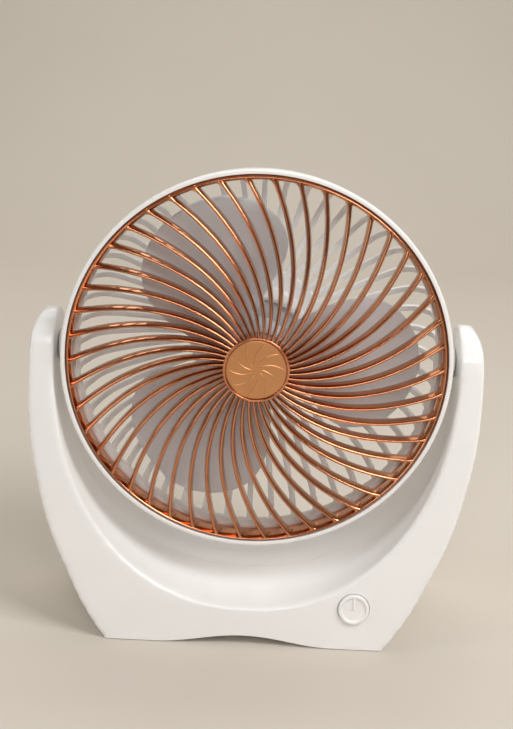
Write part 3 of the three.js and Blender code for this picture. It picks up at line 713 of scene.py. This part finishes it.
def make_button():
    """A round push button with a raised rim and a plain power mark: a bar from the top to the middle."""
    turn, place = button_turn()
    form = Form()
    profile = [
        (0, -0.75, 0), (5.7, -0.8, 0.8), (6.1, -1.42, 0.35), (7.3, -1.42, 0.6), (7.7, -0.9, 0.4),
        (7.7, 3.2, 0.1), (9.1, 3.2, 0.1), (9.1, 4.2, 0.1), (1.5, 4.2, 0.1), (1.5, 5.1, 0.2), (0, 5.1, 0),
    ]
    form.add(*turned(profile, 96, 5))
    points, faces = bar([(-0.5, 1), (0, 1), (0.25, 0.9), (0.4, 0.5)], 1.0, 6.2, 0.45)
    # The bar stands on the face, towards the front.
    flip = Matrix.Rotation(math.pi, 3, "Z")
    form.add(moved(points, (0, -0.95, 3.0), flip), faces)
    form.points = moved(form.points, place, turn)
    piece("push_button", form, "white", "button", "power_button")


# ---------------------------------------------------------------- head
BEZEL_R, BEZEL_BACK_R, RING_R, RING_OPEN_R, SHELF_OPEN_R = 94.0, 91.8, 91.0, 88.5, 87.6
RIM_Y, RING_BACK_Y, SHELF_BACK_Y = -22.0, -10.5, -5.2
BOSS_R, BOSS_FRONT_Y, BADGE_R = 16.0, -28.0, 14.4
FINS, FIN_PHASE = 46, 0.355
FIN_FRONT, FIN_BACK, FIN_DEPTH = 1.3, 2.6, 5.5
FIN_TURN, FIN_CURL = math.radians(30.1), math.radians(8.8)
GUARD_RIBS = 48
GUARD_RIM_R, GUARD_RIM_Y = 91.4, (-4.9, -0.7)
GUARD_PLATE_Y, GUARD_PLATE_BACK_Y = 35.2, 37.8
PIVOT_PAD_X = (88, 93.4)  # blocks on the guard that hold the pivot pins
PIN_R = 2.5


def make_bezel():
    profile = [
        (RING_R + GAP, RIM_Y + 0.1, 0.5), (BEZEL_R - 0.2, RIM_Y, 2.5), (BEZEL_BACK_R, SHELF_BACK_Y, 0.5),
        (SHELF_OPEN_R, SHELF_BACK_Y, 0.3), (SHELF_OPEN_R, RING_BACK_Y + GAP, 0.3),
        (RING_R + GAP, RING_BACK_Y + GAP, 0.3),
    ]
    points, faces = turned(profile, 256, 6)
    piece("bezel_ring", Form().add(on_head(points), faces), "white", "head", "front_bezel")


def fin_section(taper, flare):
    """A fin's section: a rounded narrow front edge, flanks that widen, and a flat back."""
    front = FIN_FRONT / 2 * math.sqrt(taper) * flare
    back = FIN_BACK / 2 * taper * flare
    nose = [(-front * math.cos(a), front * (1 - math.sin(a))) for a in np.linspace(0.25, math.pi - 0.25, 7)]
    middle = (front + 1.6 * back) / 2.6
    return [*nose, (middle, 0.45 * FIN_DEPTH), (back, FIN_DEPTH - 0.5), (0.8 * back, FIN_DEPTH),
            (-0.8 * back, FIN_DEPTH), (-back, FIN_DEPTH - 0.5), (-middle, 0.45 * FIN_DEPTH)]


def fin_rings(angle):
    first, last = BOSS_R - 1.5, RING_OPEN_R + 1.6
    stations = 28

    def middle(r):
        left = 1 - r / RING_OPEN_R
        share = min(r / RING_OPEN_R, 1)
        dome = RIM_Y - (RIM_Y - BOSS_FRONT_Y - 0.5) * (1 - share**2)
        return polar(r, angle + FIN_TURN * left + FIN_CURL * left**2, dome + 0.2)

    rings = []
    for i in range(stations):
        # Stations are closer together near the ring, where the fin flares.
        r = first + (last - first) * math.sin(math.pi / 2 * i / (stations - 1)) ** 0.9
        here = middle(r)
        ahead = middle(r + 0.4) - here
        ahead[1] = 0
        ahead /= np.linalg.norm(ahead)
        side = np.array((ahead[2], 0, -ahead[0]))
        taper = min(1, 0.5 + (r - BOSS_R) / 40)
        flare = 1 + 1.5 * max(0, (r - RING_OPEN_R + 2.2) / 3.8) ** 2
        rings.append([here + side * u + np.array((0, v, 0)) for u, v in fin_section(taper, flare)])
    return rings


def make_grille():
    form = Form()
    rim = [
        (RING_OPEN_R, RIM_Y + 2.2, 0.5), (RING_OPEN_R + 1.1, RIM_Y + 0.15, 0.4), (RING_R - 0.95, RIM_Y, 0.3),
        (RING_R, RIM_Y + 1.4, 0.5), (RING_R, RING_BACK_Y, 0.3), (RING_OPEN_R + 0.4, RING_BACK_Y, 0.3),
    ]
    form.add(*turned(rim, 256, 6))
    recess = BADGE_R + GAP
    boss = [
        (0, BOSS_FRONT_Y + 1.4, 0), (recess, BOSS_FRONT_Y + 1.4, 0.1), (recess + 0.05, BOSS_FRONT_Y, 0.4),
        (BOSS_R - 0.1, BOSS_FRONT_Y, 0.7), (BOSS_R, -17, 0.5), (0, -17, 0),
    ]
    form.add(*turned(boss, 128, 5))
    for i in range(FINS):
        form.add(*skinned(fin_rings((i + FIN_PHASE) * 2 * math.pi / FINS)))
    form.points = on_head(form.points)
    piece("spiral_grille", form, "copper", "head", "front_grille")


def make_badge():
    """A flat disc with ten evenly spaced curved ridges, like a small fan."""
    rings, around, ridges = 44, 360, 10
    low, high = box_mm("grille_badge")
    front, back = low[1] - PIVOT[1], high[1] - PIVOT[1]
    points = [(0, front + 0.25, 0)]
    for i in range(1, rings + 1):
        r = BADGE_R * i / rings
        for j in range(around):
            angle = 2 * math.pi * j / around
            swirl = angle - 0.055 * (r - 3) - 0.35
            spread = math.remainder(swirl * ridges, 2 * math.pi) / ridges * r
            fade = ease((r - 2.2) / 0.8) * ease((13.2 - r) / 0.6)
            height = 0.24 * fade * math.exp(-((spread / 0.24) ** 2))
            drop = 0.25 + (0.25 if i == rings else 0)
            points.append(tuple(polar(r, angle, front + drop - height)))
    faces = [(0, 1 + (j + 1) % around, 1 + j) for j in range(around)]
    for i in range(rings - 1):
        for j in range(around):
            a, b = 1 + i * around + j, 1 + i * around + (j + 1) % around
            faces.append((a, b, b + around, a + around))
    edge = len(points)
    points.extend(tuple(polar(BADGE_R, 2 * math.pi * j / around, back)) for j in range(around))
    outer = 1 + (rings - 1) * around
    for j in range(around):
        k = (j + 1) % around
        faces.append((outer + j, outer + k, edge + k, edge + j))
    faces.append(tuple(edge + j for j in range(around)))
    form = Form().add(on_head(points), faces)
    piece("boss_disc", form, "badge", "head", "grille_badge", sharp=60)


def rib_rings(angle):
    meridian = catmull([(90, -2), (88.6, 10), (80, 25.8), (58, 34.7), (34.5, 36.8)], 7)
    turn = np.array(Matrix.Rotation(angle, 3, "Y"))
    rings = []
    for i, (r, y) in enumerate(meridian):
        before, after = meridian[max(i - 1, 0)], meridian[min(i + 1, len(meridian) - 1)]
        along = np.array(after) - np.array(before)
        along /= np.linalg.norm(along)
        inward = np.array((0, along[0], -along[1]))
        section = bar_section(3.0, 2.4, 0.7, 3)
        start = np.array((0, y, r))
        rings.append([turn @ (start + np.array((u, 0, 0)) + inward * (v + 1.2)) for u, v in section])
    return rings


def make_guard():
    """The white rear guard: rim, radial ribs, motor plate and the cup that holds the motor."""
    form = Form()
    front, back = GUARD_RIM_Y
    form.add(*turned([
        (SHELF_OPEN_R, front, 0.3), (GUARD_RIM_R, front, 0.3), (GUARD_RIM_R, back, 0.9),
        (SHELF_OPEN_R, back, 0.6)], 192, 4))
    plate, behind = GUARD_PLATE_Y, GUARD_PLATE_BACK_Y
    form.add(*turned([
        (6, plate, 0.3), (24, plate, 0.1), (24, 13, 0.4), (26, 13, 0.8), (26, plate, 1.4),
        (35.6, plate - 1, 0.8), (35.6, behind, 0.8), (34, behind, 0.3), (34, 43, 0.5), (32, 43, 0.3),
        (32, behind, 0.3), (6, behind, 0.3)], 128, 4))
    for i in range(GUARD_RIBS):
        form.add(*skinned(rib_rings(2 * math.pi * i / GUARD_RIBS)))
    for side in (-1, 1):
        turn = Matrix.Rotation(math.radians(-90 * side), 3, "Z")
        near, far = PIVOT_PAD_X
        pad = [(PIN_R + GAP, near, 0.2), (8.6, near, 0.6), (8.6, far, 0.9), (PIN_R + GAP, far, 0.3)]
        points, faces = turned(pad, 64, 4)
        form.add(moved(points, (0, 0.4, 0), turn), faces)
    form.points = on_head(form.points)
    piece("rear_guard_moulding", form, "guard", "head", "rear_guard")


def make_motor_cover():
    profile = [
        (0, 46.4, 0), (17, 46.2, 6), (27.4, 44.9, 4), (31.7, 42.2, 1.5), (31.7, 39.4, 0.4),
        (29.6, 39.4, 0.3), (29.6, 41, 0.6), (26, 42.6, 1), (0, 44.2, 0),
    ]
    form = Form().add(*turned(profile, 128, 6))
    form.points = on_head(form.points)
    piece("motor_cap", form, "white", "head", "motor_cover")


HUB_R, BLADE_R, BLADES, BLADE_T = 16.0, 80.0, 3, 1.6
WIDEST_R, BLADE_REACH = 42, 42  # radius where a blade is widest, and degrees it reaches each way
BLADE_PITCH = 9.5


def blade_form(turn):
    """A petal-shaped blade: rounded in outline, thin at its edges and slightly cambered."""
    stations, across = 40, 22
    rings = []
    for i in range(stations + 1):
        r = HUB_R - 1.5 + (BLADE_R - HUB_R + 1.5) * math.sin(math.pi / 2 * i / stations)
        beyond = (r - WIDEST_R) / (BLADE_R + 0.02 - WIDEST_R) if r > WIDEST_R else (WIDEST_R - r) / 60
        reach = BLADE_REACH * math.sqrt(max(0.0, 1 - beyond**2))
        middle = -26 - 17 * max(0, 1 - (r - 18) / 42) ** 2
        axial = BLADE_PITCH * min(1, 0.3 + 0.7 * reach / BLADE_REACH)

        def at(share, side):
            angle = turn + math.radians(middle + reach * share)
            edge = math.sqrt(max(0.0, 1 - share**8))
            thick = BLADE_T / 2 * (0.3 + 0.7 * edge)
            camber = -1.6 * (1 - share**2) * (reach / BLADE_REACH)
            return polar(r, angle, 1 + axial * share + camber + side * thick)

        shares = [2 * j / across - 1 for j in range(across + 1)]
        rings.append([at(s, 1) for s in reversed(shares)] + [at(s, -1) for s in shares])
    return skinned(rings)


def make_impeller():
    form = Form()
    hub = [
        (2.3, -8.6, 0.2), (9, -10, 2), (13.4, -9.1, 2.6), (HUB_R, -6, 3), (HUB_R, 11, 0.6), (13.4, 11, 0.4),
        (13.4, -5, 1.5), (5, -5, 0.6), (5, 8, 0.3), (2.3, 8, 0.2),
    ]
    form.add(*turned(hub, 96, 5))
    for i in range(BLADES):
        form.add(*blade_form(2 * math.pi * i / BLADES))
    form.points = on_head(form.points)
    piece("petal_impeller", form, "blade", "impeller", "impeller", sharp=50)
    cap = [(0, -13.4, 0), (2.6, -13.2, 1.6), (5, -11.4, 1.4), (5, -10.4, 0.2), (0, -10.4, 0)]
    form = Form().add(*turned(cap, 48, 5))
    form.points = on_head(form.points)
    piece("spinner_cap", form, "blade", "impeller", "hub_cap")


# ---------------------------------------------------------------- screws and carried-over parts
def screw_form(head_r, head_t, shank_r, length):
    """A pan-head screw about Y with a cross recess, head towards -Y and its seat at y = 0."""
    form = Form()
    thread = []
    pitch = 0.7
    for i in range(int(length / pitch)):
        y = 0.2 + i * pitch
        thread += [(shank_r, y, 0), (shank_r * 0.78, y + pitch / 2, 0)]
    outline = [
        (0, -head_t, 0), (head_r * 0.72, -head_t, 0.9), (head_r, -head_t * 0.35, 0.5), (head_r, 0, 0.15)]
    form.add(*turned([*outline, *thread, (shank_r * 0.5, length, 0), (0, length, 0)], 32, 4))
    return form


def slot_cutter(head_r, head_t, turn):
    """One of the two bars that cut the cross into a screw's head."""
    spin = Matrix.Rotation(math.radians(turn), 3, "Y")
    points, faces = bar([(-head_t - 0.2, 1), (-head_t * 0.25, 0.75)], head_r * 1.1, head_r * 0.26, 0.1)
    return Form().add(moved(points, turn=spin), faces)


def make_screws(prefix, count, seat_back, sizes, body):
    """Screws in place of the CAD ones, with their heads down (Z) or at the back of the head (Y)."""
    head_r, head_t, shank_r, length = sizes
    for i in range(1, count + 1):
        node = f"{prefix}_{i}"
        low, high = box_mm(node)
        middle = (low + high) / 2
        solid = new_object(node + "_detail", make_mesh(node, screw_form(head_r, head_t, shank_r, length)))
        for turn in (45, 135):
            cutter = new_object("cutter", make_mesh("cutter", slot_cutter(head_r, head_t, turn)))
            boolean(solid, cutter, "DIFFERENCE")
        if seat_back:
            turn = Matrix.Rotation(math.pi, 3, "X")
            place = (middle[0], high[1] - head_t, middle[2])
        else:
            turn = Matrix.Rotation(math.pi / 2, 3, "X")
            place = (middle[0], middle[1], low[2] + head_t)
        full = Matrix.Translation([c * MM for c in place]) @ turn.to_4x4()
        solid.data.transform(full)
        finish_piece(solid, "steel", body, node, sharp=30)


CARRIED_OVER = {
    "base_bottom_plate": "inner", "control_board": "board", "switch_board": "board", "tact_switch": "dark",
    "usb_socket": "steel", "arm_lead": "inner", "motor_lead": "inner", "motor_can": "inner",
    "motor_end_cap": "inner", "motor_shaft": "steel",
    **{f"foot_pad_{i}": "rubber" for i in range(1, 5)},
    **{f"pivot_bush_{side}": "inner" for side in ("left", "right")},
    **{f"friction_washer_{side}": "white" for side in ("left", "right")},
    **{f"pivot_pin_{side}": "steel" for side in ("left", "right")},
}


def dress_cad_parts():
    for node, material in CARRIED_OVER.items():
        obj = frame["nodes"][node]
        obj.data.materials.clear()
        obj.data.materials.append(MATERIALS[material])
        bevel = obj.modifiers.new("edges", "BEVEL")
        bevel.width = 0.15 * MM
        bevel.segments = 2
        bevel.limit_method = "ANGLE"
        bevel.angle_limit = math.radians(40)


make_camera()
MATERIALS = make_materials()
make_cord()
make_studio()
make_stand()
make_button()
make_bezel()
make_grille()
make_badge()
make_guard()
make_motor_cover()
make_impeller()
make_screws("base_screw", 4, False, (2.6, 1.6, 1.2, 9.0), "stand")
make_screws("guard_screw", 4, True, (1.8, 1.5, 1.0, 7.4), "head")
make_screws("motor_screw", 3, True, (2.6, 1.5, 1.2, 6.0), "head")
dress_cad_parts()
